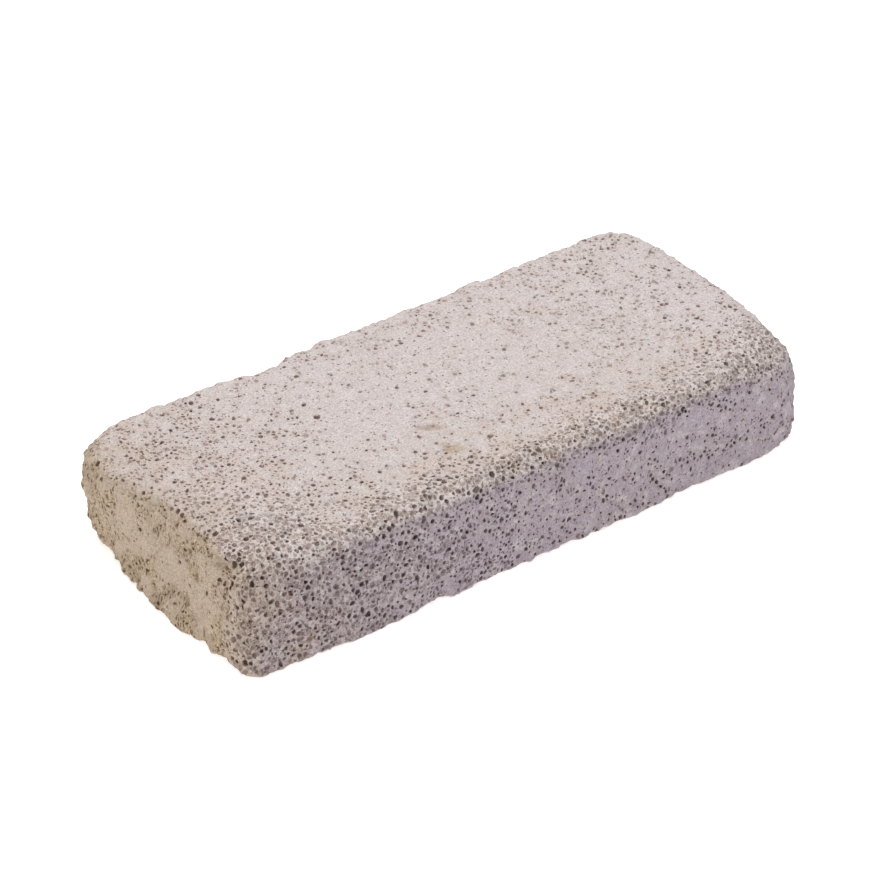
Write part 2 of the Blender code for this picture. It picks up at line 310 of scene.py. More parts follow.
# The large departures from a true block: leaning ends, a bulged front, a notch and a chip.
def wearSides(points):
    x, y, z = points.T
    up = np.clip(z / height, 0.0, 1.0)
    atLeft = smoothStep(-x, *stone["endWear"])
    depth, start, run = stone["leftLean"]
    lean = depth * (1.0 - up) ** 1.3 * np.clip((y - start) / run, 0.0, 1.0) ** 1.2
    hollow = up * hump(y, *stone["leftHollow"])
    depth, start = stone["leftBackCorner"]
    corner = depth * up * smoothStep(y, start, width / 2)
    x = x + atLeft * (lean + hollow + corner)
    depth, reach = stone["leftNearCorner"]
    near = depth * np.sqrt(up) * bump(np.hypot(x + length / 2, y + width / 2) / reach)
    x = x + near
    y = y + near
    atRight = smoothStep(x, *stone["endWear"])
    x = x + atRight * (stone["rightWear"] + hump(y, *stone["rightHollow"]))
    atFront = smoothStep(-y, width / 2 - stone["frontWear"], width / 2)
    bulge = hump(x, *stone["frontBulge"]) - hump(x, *stone["frontPinch"])
    y = y - atFront * bulge * (1.0 - up) + atFront * up * stone["frontLean"]
    atBack = smoothStep(y, width / 2 - stone["backWear"], width / 2)
    y = y - atBack * up * hump(x, *stone["notch"])
    depth, middle, half = stone["chip"]
    y = y + atFront * depth * (bump((x - middle) / half) * bump(z / half))
    return np.column_stack([x, y, z])


# Lumps and ripples on every side but the underside, and steeper slanted ridges on the broken end.
def roughen(points):
    x, y, z = points.T
    toEnd = length / 2 - np.abs(x)
    toSide = width / 2 - np.abs(y)
    above = smoothStep(z, 0.0, 2.5 * mm)
    side = 1.0 - smoothStep(np.minimum(toEnd, toSide), 1 * mm, 6 * mm)
    over = smoothStep(z, height - 5 * mm, height - 1 * mm)
    direction = np.where((toEnd < toSide)[:, None], [1.0, 0.0], [0.0, 1.0])
    sideways = direction * np.sign(np.column_stack([x, y])) * side[:, None]
    lumpHeight, lumpSize = stone["lump"]
    rippleHeight, rippleSize = stone["ripple"]
    breakHeight, breakSize = stone["break"]
    swell = lumpHeight * valueNoise(points, lumpSize, stone["seed"])
    ripples = rippleHeight * valueNoise(points, rippleSize, stone["seed"] + 1)
    swell = swell + ripples * (0.35 + 0.65 * side)
    moved = np.column_stack([x, y]) + sideways * swell[:, None]
    lifted = z + over * swell * (1.0 - 0.5 * side) * above
    broken = 1.0 - smoothStep(x + length / 2, 0.5 * mm, stone["breakReach"])
    slanted = np.column_stack([x, y + 0.6 * z, 0.45 * (z - 0.5 * y)])
    ridges = valueNoise(slanted, breakSize, stone["seed"] + 2)
    ridges = ridges + 0.55 * valueNoise(slanted, breakSize / 2.6, stone["seed"] + 3)
    moved[:, 0] -= broken * breakHeight * ridges * side
    return np.column_stack([moved, lifted])


def wornBlock(points):
    return roughen(wearSides(roundBlock(points)))


# A closed grid over the six sides of a block. A side is a grid in two whole numbers along its edges;
# the sides share the points on their common edges. Each side also has a rectangle of its own for a UV map.
def blockGrid():
    size = stone["size"]
    counts = [round(side / stone["gridSpacing"]) for side in size]
    steps = np.array([1, counts[0] + 1, (counts[0] + 1) * (counts[1] + 1)])
    margin = stone["sheetMargin"]
    sheet = length + height + 3 * margin
    sheet = max(sheet, 2 * width + 2 * height + 5 * margin)
    corner = {
        (2, 1): (margin, margin),
        (2, 0): (margin, 2 * margin + width),
        (1, 0): (margin, 3 * margin + 2 * width),
        (1, 1): (margin, 4 * margin + 2 * width + height),
        (0, 0): (2 * margin + length, margin),
        (0, 1): (2 * margin + length, 2 * margin + width),
    }
    turned = {2: (0, 1), 1: (0, 2), 0: (2, 1)}  # which axes run across and up each side's rectangle
    quads, maps = [], []
    for axis in range(3):
        first, second = (axis + 1) % 3, (axis + 2) % 3
        u, v = np.meshgrid(np.arange(counts[first]), np.arange(counts[second]), indexing="ij")
        for far in (0, 1):
            ring = [(u, v), (u + 1, v), (u + 1, v + 1), (u, v + 1)]
            if not far:
                ring.reverse()
            start = far * counts[axis] * steps[axis]
            corners = [start + a * steps[first] + b * steps[second] for a, b in ring]
            quads.append(np.stack([c.ravel() for c in corners], axis=1))
            across, upward = turned[axis]
            place = []
            for a, b in ring:
                along = {first: a / counts[first] * size[first], second: b / counts[second] * size[second]}
                left, low = corner[(axis, far)]
                spot = [(left + along[across]).ravel(), (low + along[upward]).ravel()]
                place.append(np.stack(spot, axis=1))
            maps.append(np.stack(place, axis=1) / sheet)
    used, quads = np.unique(np.concatenate(quads), return_inverse=True)
    rest, i = np.divmod(used, steps[1])
    k, j = np.divmod(rest, counts[1] + 1)
    share = np.column_stack([i / counts[0] - 0.5, j / counts[1] - 0.5, k / counts[2]])
    return share * np.array(size), quads.reshape(-1, 4), np.concatenate(maps)


# The mean direction out of the quads round each point, from the cross product of each quad's diagonals.
def gridNormals(points, quads):
    a, b, c, d = (points[quads[:, n]] for n in range(4))
    faces = np.cross(c - a, d - b)
    normals = np.column_stack([
        sum(np.bincount(quads[:, n], faces[:, axis], len(points)) for n in range(4)) for axis in range(3)
    ])
    return normals / lengths(normals)


# 1 on the broken end, 0 elsewhere, with a ragged border.
def onBrokenEnd(block):
    end = stone["brokenEnd"]
    x = layeredNoise(block, end["raggedness"], block[:, 0])
    fade = rising(-block[:, 1], *end["nearCorner"])
    return falling(x + length / 2, 1.0, *end["border"]) * (1.0 - fade)


# How torn the broken end is, 0 in its smooth patches and 1 in its hollows.
def tornness(block):
    end = stone["brokenEnd"]
    y, z = block[:, 1], block[:, 2]
    total = layeredNoise(block, end["tearing"], end["torn"])
    for sign, spots in ((-1.2, end["smooth"]), (0.6, end["rough"])):
        for spotY, spotZ, halfY, halfZ in mm * np.array(spots):
            total = total + sign * bump(np.hypot((y - spotY) / halfY, (z - spotZ) / halfZ) / 1.3)
    return smoothStep(total, 0.2, 0.9) * onBrokenEnd(block)


# How far the end's tan colour spreads over the near edges of the other sides.
def tanness(block):
    tan = stone["tan"]
    x, y, z = block.T
    uneven = layeredNoise(block, tan["raggedness"])
    onEnd = falling(x + length / 2, 1.0, 0.0, 1.5 * mm)
    fromNear = onEnd * (y + width / 2)
    spread = falling(x + length / 2 + uneven - tan["slant"] * fromNear, 1.0, *tan["reach"])
    inward = onEnd * smoothStep(fromNear, 1 * mm, 9 * mm)
    return spread * (tan["least"] + (1.0 - tan["least"]) * inward)


# How warm and creamy the colour is: most near the front top edge and the left end, least on the right.
def warmth(block):
    warm = stone["warm"]
    x, y, z = block.T
    fromFront = np.maximum(0.0, y + width / 2)
    fromTop = np.maximum(0.0, height - z)
    toRight = smoothStep(x, *warm["right"])
    nearFront = falling(fromFront, 1.0, *warm["front"]) * (1.0 - 0.6 * toRight)
    nearLeft = falling(x, 1.0, *warm["left"])
    everywhere, less, more = warm["top"]
    onTop = everywhere - less * toRight + more * np.maximum(nearFront, nearLeft)
    fromNear = np.hypot(x + length / 2, fromFront)
    sides = falling(fromNear, *warm["sidesNear"]) + falling(x, *warm["sidesLeft"])
    down = smoothStep(fromTop, 0.0, 3 * mm)
    total = onTop * (1.0 - down) + sides * down
    return np.clip(layeredNoise(block, warm["patches"], total), 0.0, 1.0)


# Heights along the normal: crumbled edges, torn hollows and holes on the broken end, and a fine grain;
# and how deep in a hollow of the end each point is, 0 to 1, where the material paints shade.
def surfaceRelief(block, normals):
    end = stone["brokenEnd"]
    relief = stone["relief"]
    edge = falling(np.abs(normals).max(axis=1), 1.0, 0.9, 0.995)
    broken = onBrokenEnd(block)
    torn = tornness(block)
    tearing = 0.35 * broken + 0.65 * torn
    x, y, z = block.T
    slanted = np.column_stack([x, y + 0.5 * z, 0.5 * z - 0.25 * y])
    upright = np.column_stack([x, y, 0.45 * z])
    rise, size, seed = relief["ridge"]
    ridges = rise * (0.5 - np.abs(valueNoise(slanted, size, seed)))
    coarse = layeredNoise(slanted, relief["tornLumps"], ridges) - relief["tornDepth"] * torn
    fibres = layeredNoise(upright, relief["fibres"])
    crumble = layeredNoise(block, relief["crumble"]) * edge * (1.0 + 0.5 * broken)
    total = layeredNoise(block, relief["grain"]) + crumble + coarse * broken + fibres * tearing
    heights = mm * total
    for centre, halves, lift in stone["swells"]:
        share = (block / mm - np.array(centre)) / np.array(halves)
        heights = heights + mm * lift * bump(np.linalg.norm(share, axis=1))
    ragged = layeredNoise(block, end["holeRaggedness"])
    for holeY, holeZ, halfY, halfZ, depth in mm * np.array(end["holes"]):
        far = np.hypot((y - holeY) / halfY, (z - holeZ) / halfZ) + ragged
        heights = heights - depth * broken * falling(far, 1.0, 0.55, 1.15)
    hollow = smoothStep(-0.4 * coarse - fibres, 0.0, 0.45) * tearing
    return heights, hollow


# Where the stone is a packed foam, 0 to 1: along the front top edge, at the near left corner, on the left
# of the front and at the front right corner. Each term is a half at its border, which noise makes ragged.
def foamZone(block):
    zone = stone["foam"]
    x, y, z = block.T
    fromFront = np.maximum(0.0, y + width / 2)
    fromTop = np.maximum(0.0, height - z)
    reach, more = zone["band"]
    reach = reach + more * smoothStep(x, 10 * mm, 45 * mm)
    band = 1.0 - (fromFront + 1.6 * fromTop) / (2 * reach)
    place, reach, down = zone["nearCorner"]
    corner = 1.0 - np.hypot(x - place, fromFront) / (2 * reach) - fromTop / down
    place, reach = zone["frontLeft"]
    frontLeft = 1.0 - (x - place + 8.0 * fromFront) / (2 * reach)
    place, behind, reach = zone["rightCorner"]
    far = np.sqrt((x - place) ** 2 + (fromFront - behind) ** 2 + (1.5 * fromTop) ** 2)
    rightCorner = 1.0 - far / (2 * reach)
    nearest = np.maximum.reduce([band, corner, frontLeft, rightCorner])
    total = nearest + layeredNoise(block, zone["raggedness"])
    return smoothStep(total, 0.28, 0.72) * (1.0 - onBrokenEnd(block)) * smoothStep(z, 0.0, 0.8 * mm)


# Where single pores are scattered, 0 to 1: most toward both ends, fewest in the middle of the top.
def scatterZone(block):
    zone = stone["scatter"]
    x, y, z = block.T
    fromFront = np.maximum(0.0, y + width / 2)
    fromBackEdge = np.maximum(0.0, width / 2 - y) + np.maximum(0.0, height - z)
    sparse = smoothStep(x, -18 * mm, 6 * mm) * smoothStep(height - z, 1.5 * mm, 4 * mm)
    nearBand = falling(fromFront, zone["front"] - zone["sparse"] * sparse, 4 * mm, 17 * mm)
    share, reach = zone["back"]
    back = share * bump(fromBackEdge / reach)
    most = np.maximum.reduce([falling(x, *zone["left"]), rising(x, *zone["right"]), nearBand, back])
    total = zone["everywhere"] + most + layeredNoise(block, zone["patches"])
    above = smoothStep(z, 0.0, 0.8 * mm)
    return np.clip(total, 0.04, 1.0) * (1.0 - 0.85 * onBrokenEnd(block)) * (0.25 + 0.75 * above)


# Where the largest pores are, 0 to 1: toward the near left corner and, fewer, along the front top edge.
def coarseness(block):
    zone = stone["coarse"]
    x, y, z = block.T
    cornerX, cornerY, cornerZ = zone["corner"]
    far = np.sqrt((0.8 * (x - cornerX)) ** 2 + (y - cornerY) ** 2 + (0.6 * (z - cornerZ)) ** 2)
    share, reach = zone["edge"]
    edge = share * bump(np.hypot(y + width / 2, z - height + 1 * mm) / reach)
    total = np.maximum(bump(far / zone["cornerReach"]), edge)
    return np.clip(layeredNoise(block, zone["patches"], total), 0.0, 1.0)


# The chance that a place is used: shares of the foam, of single pores, which gather in clusters, and of the
# torn end, and a little anywhere.
def poreChance(share, block):
    gathered = np.clip(layeredNoise(block, stone["scatter"]["clusters"], 0.9), 0.0, 2.2)
    single = gathered * scatterZone(block) ** 1.3
    inFoam = foamZone(block) * (share["foam"] + share["coarse"] * coarseness(block))
    return inFoam + share["single"] * single + share["torn"] * tornness(block) + share["anywhere"]


neighbours = [(i - 1, j - 1, k - 1) for i, j, k in np.ndindex(3, 3, 3)]


# Whether a pore lies clear of those kept in its own cube and the cubes around it.
def isClear(kept, cube, place, radius):
    for step in neighbours:
        for other, size in kept.get(tuple(c + n for c, n in zip(cube, step)), ()):
            if math.dist(place, other) < stone["porePacking"] * (radius + size) + stone["poreWall"]:
                return False
    return True


# Places are tried in turn, the largest pores first. A pore is kept where it is clear of those before it.
def pickPores(points, block, rng):
    area = 2 * (length * width + length * height + width * height) / mm**2
    reach = 2.0 * stone["pores"]["large"]["radius"][1] + stone["poreWall"]
    kept = {}
    chosen = []
    sizes = []
    for kind in stone["pores"].values():
        picks = rng.integers(0, len(points), int(kind["tried"] * area))
        luck = rng.random(len(picks))
        radii = rng.uniform(*kind["radius"], len(picks))
        good = luck < poreChance(kind["chance"], block[picks])
        for pick, radius in zip(picks[good].tolist(), radii[good].tolist()):
            place = tuple(points[pick].tolist())
            cube = tuple(int(c // reach) for c in place)
            if isClear(kept, cube, place, radius):
                kept.setdefault(cube, []).append((place, radius))
                chosen.append(pick)
                sizes.append(radius)
    return np.array(chosen), np.array(sizes)


# Pores face inward and are stretched along the surface. Larger pores are more rarely dark, and those on the
# middle of the top are paler.
def placePores(points, normals, block):
    rng = np.random.default_rng(stone["poreSeed"])
    chosen, sizes = pickPores(points, block, rng)
    count = len(chosen)
    sideways = smoothStep(-normals[chosen, 2], -0.8, -0.2)
    foamed = foamZone(block[chosen])
    x = points[chosen, 0]
    middle = smoothStep(x, -30 * mm, 30 * mm) * (1.0 - 0.85 * smoothStep(x, 34 * mm, 54 * mm))
    fade = 1.0 - 0.45 * middle * (1.0 - sideways) * (1.0 - 0.8 * foamed)
    grain, drawn = stone["poresDrawnOut"]
    along = np.cross(normals[chosen], rng.normal(size=(count, 3)))
    along /= lengths(along)
    along = along * (0.35 + 0.65 * sideways)[:, None] + np.array(grain) * (1.0 - sideways)[:, None]
    along /= lengths(along)
    uneven = stone["poreStretch"] * rng.uniform(-1.0, 1.0, count) * (0.5 + 0.5 * sideways)
    rarity = 0.4 + 2.6 * (sizes / mm - 0.2) + 1.05 * foamed - 0.3 * sideways
    print("stone:", count, "pores placed")
    return {
        "centre": points[chosen],
        "inward": -normals[chosen],
        "radius": sizes,
        "along": along,
        "stretch": 1.0 - drawn * (1.0 - sideways) + uneven,
        "dark": fade * rng.random(count) ** rarity,
    }


# For each point the distance to the nearest pore's centre over its radius, the same for the next, and which
# pore is the nearest.
def nearestPores(points, pores):
    cube = 2.3 * pores["radius"].max()
    origin = points.min(axis=0) - 2 * cube
    shape = ((points.max(axis=0) - origin) / cube).astype(int) + 3
    own = ((pores["centre"] - origin) / cube).astype(int)
    flat = np.ravel_multi_index(own.T, shape)
    order = np.argsort(flat, kind="stable")
    count = np.bincount(flat, minlength=np.prod(shape))
    first = np.cumsum(count) - count
    best = np.full(len(points), 9.0)
    second = np.full(len(points), 9.0)
    which = np.zeros(len(points), dtype=int)
    base = np.floor((points - origin) / cube - 0.5).astype(int)
    for corner in np.ndindex(2, 2, 2):
        cubes = np.ravel_multi_index((base + corner).T, shape)
        here = count[cubes]
        for slot in range(here.max()):
            near = np.flatnonzero(here > slot)
            pore = order[first[cubes[near]] + slot]
            reach = points[near] - pores["centre"][pore]
            along = np.einsum("ij,ij->i", reach, pores["along"][pore])
            longer = pores["stretch"][pore] ** 2 - 1.0
            square = np.einsum("ij,ij->i", reach, reach) + longer * along**2
            share = np.sqrt(square) / pores["radius"][pore]
            nearer = share < best[near]
            second[near] = np.where(nearer, best[near], np.minimum(share, second[near]))
            best[near] = np.where(nearer, share, best[near])
            which[near] = np.where(nearer, pore, which[near])
    return best, second, which


# The worn block inside its solid's box, with its relief and with a cup cut for each pore.
def pumiceSurface():
    block, quads, uvs = blockGrid()
    points = wornBlock(block)
    low, high = points.min(axis=0), points.max(axis=0)
    cadLow, cadHigh = (np.array(corner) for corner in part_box("pumice_stone"))
    middle = (cadLow + cadHigh) / 2 - (low + high) / 2
    points = points + np.array([middle[0], middle[1], -low[2]])
    print("stone: grid of", len(points), "points")
    normals = gridNormals(points, quads)
    relief, hollow = surfaceRelief(block, normals)
    points = points + normals * relief[:, None]
    points = np.clip(points, cadLow, cadHigh)
    pores = placePores(points, normals, block)
    stray, size, seeds = stone["poreRagged"]
    ragged = np.column_stack([valueNoise(points, size, seed) for seed in seeds])
    best, second, which = nearestPores(points + stray * ragged, pores)
    radius = pores["radius"][which]
    inward = pores["inward"][which]
    dark = pores["dark"][which]
    # room: how far in from the rim over the radius; the rim is the circle, or the wall to the next pore
    room = np.minimum(1.0 - best, (second - best) / 2 - stone["poreWall"] / 2 / radius)
    reach = points - pores["centre"][which]
    reach -= inward * np.einsum("ij,ij->i", reach, inward)[:, None]
    outward = reach / np.maximum(lengths(reach), 1e-9)
    # points near a rim are drawn onto it, so that the rim is sharp
    onRim = np.abs(room * radius) < 0.55 * stone["gridSpacing"]
    surface = points + outward * np.where(onRim, room * radius, 0.0)[:, None]
    room = np.where(onRim, 0.0, np.clip(room, 0.0, 1.0))
    cup = np.sqrt(1.0 - (1.0 - room) ** 2) * radius * (0.4 + 0.9 * dark)
    surface = np.clip(surface + inward * cup[:, None], cadLow, cadHigh)
    print("stone: pores cut,", round(100 * np.mean(room > 0)), "percent of the surface")
    attributes = {
        # poreDepth and poreDark: how far into a pore a point is and how dark its inside is painted, partly
        # its own colour and partly painted shade
        "poreDepth": np.clip(2.0 * room, 0.0, 1.0),
        "fringe": bump(np.maximum(0.0, best - 1.0) * radius / (0.5 * mm)),
        "poreDark": dark,
        "foam": foamZone(block),
        "scatter": scatterZone(block),
        "broken": onBrokenEnd(block),
        "torn": tornness(block),
        "tan": tanness(block),
        "warm": warmth(block),
        # hollow: where the material paints shade in the hollows of the broken end
        "hollow": hollow,
        # side: 1 on the upright sides, which the material paints darker, partly as painted shade
        "side": smoothStep(np.abs(normals[:, 2]), 0.75, 0.25),
    }
    return surface, quads, uvs, attributes


def meshFrom(name, points, quads, uvs, attributes):
    mesh = bpy.data.meshes.new(name)
    mesh.vertices.add(len(points))
    mesh.vertices.foreach_set("co", points.astype(np.float32).ravel())
    mesh.loops.add(quads.size)
    mesh.loops.foreach_set("vertex_index", quads.astype(np.int32).ravel())
    mesh.polygons.add(len(quads))
    mesh.polygons.foreach_set("loop_start", np.arange(0, quads.size, 4, dtype=np.int32))
    layer = mesh.uv_layers.new(name="OFBake")
    layer.uv.foreach_set("vector", uvs.astype(np.float32).ravel())
    for label, values in attributes.items():
        made = mesh.attributes.new(label, "FLOAT", "POINT")
        made.data.foreach_set("value", values.astype(np.float32))
    mesh.update(calc_edges=True)
    return mesh


def addStone():
    mesh = meshFrom("pumice_surface", *pumiceSurface())
    piece = bpy.data.objects.new("pumice_surface", mesh)
    scene.collection.objects.link(piece)
    thin = piece.modifiers.new("thin", "DECIMATE")
    thin.ratio = stone["mostTriangles"] / (2 * len(mesh.polygons))
    graph = bpy.context.evaluated_depsgraph_get()
    fine = bpy.data.meshes.new_from_object(
        piece.evaluated_get(graph), preserve_all_data_layers=True, depsgraph=graph
    )
    piece.modifiers.clear()
    piece.data = fine
    fine.shade_smooth()
    fine.set_sharp_from_angle(angle=math.radians(stone["sharpFrom"]))
    print("stone: thinned to", len(fine.polygons), "faces")
    return piece


piece = addStone()
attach(piece, "root")
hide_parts("pumice_stone")


# Shader helpers. A value is a number or a socket to link from.
def setInput(tree, socket, value):
    if isinstance(value, bpy.types.NodeSocket):
        tree.links.new(value, socket)
    else:
        socket.default_value = value


def addNode(tree, kind, values=None, **settings):
    node = tree.nodes.new("ShaderNode" + kind)
    for name, value in settings.items():
        setattr(node, name, value)
    for name, value in (values or {}).items():
        setInput(tree, node.inputs[name], value)
    return node


def calculate(tree, operation, *values):
    return addNode(tree, "Math", dict(enumerate(values)), operation=operation).outputs[0]


def vectors(tree, operation, *values):
    return addNode(tree, "VectorMath", dict(enumerate(values)), operation=operation).outputs[0]


def times(tree, first, second):
    return calculate(tree, "MULTIPLY", first, second)


# Smooth step in a shader: least at low, most at high.
def ramp(tree, value, low, high, least=0.0, most=1.0):
    values = {"Value": value, "From Min": low, "From Max": high, "To Min": least, "To Max": most}
    return addNode(tree, "MapRange", values, interpolation_type="SMOOTHSTEP").outputs["Result"]


def mix(tree, share, first, second, blend="MIX"):
    node = addNode(tree, "Mix", data_type="RGBA", blend_type=blend)
    for index, value in ((0, share), (6, first), (7, second)):
        setInput(tree, node.inputs[index], value)
    return node.outputs[2]


# The multiply blend: a share of the colour is multiplied by the tint.
def darken(tree, share, colour, tint):
    return mix(tree, share, colour, tint, "MULTIPLY")


def noise(tree, place, scale, detail, roughness):
    values = {"Vector": place, "Scale": scale, "Detail": detail, "Roughness": roughness}
    return addNode(tree, "TexNoise", values).outputs["Fac"]


def attribute(tree, name):
    return addNode(tree, "Attribute", attribute_name=name).outputs["Fac"]


def mapped(tree, place, setting, values):
    return addNode(tree, "Mapping", {"Vector": place, setting: values}).outputs["Vector"]


def effect(tree, group, values):
    return addNode(tree, "Group", values, node_tree=group).outputs


# An empty group with its inputs, as a label and a standard value (none for a place), and its outputs.
def newGroup(name, inputs, outputs):
    tree = bpy.data.node_groups.new(name, "ShaderNodeTree")
    for label, value in inputs:
        kind = "NodeSocketFloat" if isinstance(value, float) else "NodeSocketVector"
        socket = tree.interface.new_socket(label, in_out="INPUT", socket_type=kind)
        if value is not None:
            socket.default_value = value
    for label in outputs:
        tree.interface.new_socket(label, in_out="OUTPUT", socket_type="NodeSocketFloat")
    return tree, tree.nodes.new("NodeGroupInput").outputs, tree.nodes.new("NodeGroupOutput").inputs


# Grain: noise of two sizes in one number, 0.5 on average.
def grainGroup():
    tree, given, out = newGroup("grain", [("Place", None), ("Scale", 3.0)], ["Value"])
    coarse = noise(tree, given["Place"], given["Scale"], 3.0, 0.65)
    fine = noise(tree, given["Place"], times(tree, given["Scale"], 2.7), 1.0, 0.5)
    part = times(tree, fine, 0.45)
    tree.links.new(calculate(tree, "MULTIPLY_ADD", coarse, 0.55, part), out["Value"])
    return tree


# Pin pores: specks too small for the surface's own shape, in random sizes. Amount is their share of the
# places; Smallest and Largest are radii over the distance between places; Dark differs from speck to speck.
def pinPoreGroup():
    inputs = [("Place", None), ("Scale", 1.6), ("Amount", 0.4), ("Smallest", 0.14), ("Largest", 0.32)]
    tree, given, out = newGroup("pin pores", inputs, ["Mask", "Dark"])
    shake = addNode(tree, "TexNoise", {"Vector": given["Place"], "Scale": 3.0, "Detail": 1.0})
    centred = vectors(tree, "SUBTRACT", shake.outputs["Color"], (0.5, 0.5, 0.5))
    place = vectors(tree, "MULTIPLY_ADD", centred, (0.25, 0.25, 0.25), given["Place"])
    cells = addNode(tree, "TexVoronoi", {"Vector": place, "Scale": given["Scale"]})
    luck = addNode(tree, "SeparateColor", {"Color": cells.outputs["Color"]})
    present = calculate(tree, "GREATER_THAN", given["Amount"], luck.outputs["Red"])
    spread = calculate(tree, "SUBTRACT", given["Largest"], given["Smallest"])
    radius = calculate(tree, "MULTIPLY_ADD", luck.outputs["Green"], spread, given["Smallest"])
    inside = ramp(tree, calculate(tree, "DIVIDE", cells.outputs["Distance"], radius), 1.1, 0.6)
    tree.links.new(times(tree, inside, present), out["Mask"])
    tree.links.new(luck.outputs["Blue"], out["Dark"])
    return tree


# Foam cells: flat-sided cells cut by the surface. Hollow is 1 inside a cell and 0 on a wall; Wall is half a
# wall's thickness over the distance between cells; Amount is the share of cells; Dark differs by cell.
def cellGroup():
    inputs = [("Place", None), ("Scale", 1.2), ("Amount", 0.5), ("Wall", 0.05)]
    tree, given, out = newGroup("foam cells", inputs, ["Hollow", "Wall", "Dark"])
    values = {"Vector": given["Place"], "Scale": given["Scale"]}
    edges = addNode(tree, "TexVoronoi", values, feature="DISTANCE_TO_EDGE").outputs["Distance"]
    cells = addNode(tree, "TexVoronoi", values)
    luck = addNode(tree, "SeparateColor", {"Color": cells.outputs["Color"]})
    present = calculate(tree, "GREATER_THAN", given["Amount"], luck.outputs["Red"])
    inside = ramp(tree, edges, given["Wall"], times(tree, given["Wall"], 2.6))
    wall = calculate(tree, "SUBTRACT", 1.0, inside)
    tree.links.new(times(tree, inside, present), out["Hollow"])
    tree.links.new(times(tree, wall, given["Amount"]), out["Wall"])
    tree.links.new(luck.outputs["Blue"], out["Dark"])
    return tree


# Stain: 1 inside a ball about Centre with radii Size, fading and ragged at its border.
def stainGroup():
    inputs = [("Place", None), ("Centre", (0, 0, 0)), ("Size", (1, 1, 1)), ("Ragged", 0.8)]
    tree, given, out = newGroup("stain", inputs, ["Mask"])
    reach = vectors(tree, "SUBTRACT", given["Place"], given["Centre"])
    share = vectors(tree, "DIVIDE", reach, given["Size"])
    far = addNode(tree, "VectorMath", {0: share}, operation="LENGTH").outputs["Value"]
    uneven = calculate(tree, "SUBTRACT", noise(tree, given["Place"], 1.0, 3.0, 0.6), 0.5)
    far = calculate(tree, "MULTIPLY_ADD", uneven, given["Ragged"], far)
    tree.links.new(ramp(tree, far, 1.15, 0.45), out["Mask"])
    return tree


# The stone's look. Places and sizes in the material are in millimetres.
look = {
    "top": (0.632, 0.566, 0.562, 1),
    # side, back and sideCream: darker copies of top and cream for the upright sides, the front more lilac;
    # partly the stone's own tone and partly painted shade
    "side": (0.441, 0.375, 0.42, 1),
    "back": (0.47, 0.408, 0.42, 1),
    "broken": (0.502, 0.408, 0.32, 1),
    "torn": (0.466, 0.368, 0.262, 1),
    "cream": (0.594, 0.502, 0.45, 1),
    "sideCream": (0.508, 0.407, 0.374, 1),
    "white": (0.64, 0.6, 0.59, 1),
    "wall": (0.715, 0.632, 0.6, 1),
    # shallowPore, deepPore and crack darken pores, foam cells, hollows and cracks, partly as their own
    # colour and partly as painted shade
    "shallowPore": (0.7, 0.64, 0.62, 1),  # the next four multiply the colour around them
    "deepPore": (0.3, 0.24, 0.23, 1),
    "shade": (0.78, 0.74, 0.71, 1),
    "fringe": (0.93, 0.885, 0.85, 1),
    "crack": (0.3, 0.23, 0.165, 1),
    "grit": (0.655, 0.555, 0.435, 1),
    "rust": (0.5, 0.31, 0.19, 1),
    "stains": (
        ((-3.5, -12.4, 19.4), (2.7, 1.2, 2.0), (0.345, 0.235, 0.172, 1)),
        ((0.6, -18.4, 19.4), (2.4, 2.0, 2.0), (0.415, 0.315, 0.2, 1)),
    ),
    "stainRagged": 1.6,
    "patches": {  # noise: scale, detail, roughness; where a patch begins and is whole; its least and most
        "cream": (0.2, 6.0, 0.7, 0.36, 0.66, 0.25, 0.9),
        "white": (0.45, 5.0, 0.65, 0.48, 0.66, 0.0, 1.0),
        "grit": (3.4, 2.0, 0.5, 0.53, 0.63, 0.0, 0.9),
        "crumbs": (2.4, 4.0, 0.75, 0.49, 0.59, 0.0, 1.0),
        "rust": (0.9, 3.0, 0.7, 0.62, 0.74, 0.0, 1.0),
        "smudge": (0.5, 4.0, 0.7, 0.54, 0.7, 0.0, 1.0),
        "gathered": (0.42, 3.0, 0.6, 0.42, 0.6, 0.3, 1.35),
    },
    "strength": {"white": 0.5, "stain": 0.62, "rust": 0.55, "cells": 0.75, "hollow": 0.35, "pore": 0.95},
    "specks": (  # which place and which amount; scale, largest radius, strength and darkest colour
        ("straight", "few", 0.3, 0.24, 0.38, "shade"),
        ("drawn", "single", 1.05, 0.34, 0.9, "deepPore"),
        ("drawn", "pinned", 1.9, 0.36, 0.9, "deepPore"),
        ("streaked", "cracked", 1.3, 0.38, 0.92, "crack"),
        ("streaked", "shredded", 2.1, 0.4, 0.95, "crack"),
    ),
    "fewSpecks": 0.12,
    "grainScale": 2.6,
    "cellScale": 1.25,
    "turn": 37.6,  # degrees about z: the stains and the drawn-out specks lie along this
    "drawnOut": 0.74,
    "streaked": 0.38,
    "dullness": 0.2,
    "bumpHeight": 0.12 * mm,
}


def patches(tree, place, name):
    scale, detail, roughness, low, high, least, most = look["patches"][name]
    return ramp(tree, noise(tree, place, scale, detail, roughness), low, high, least, most)
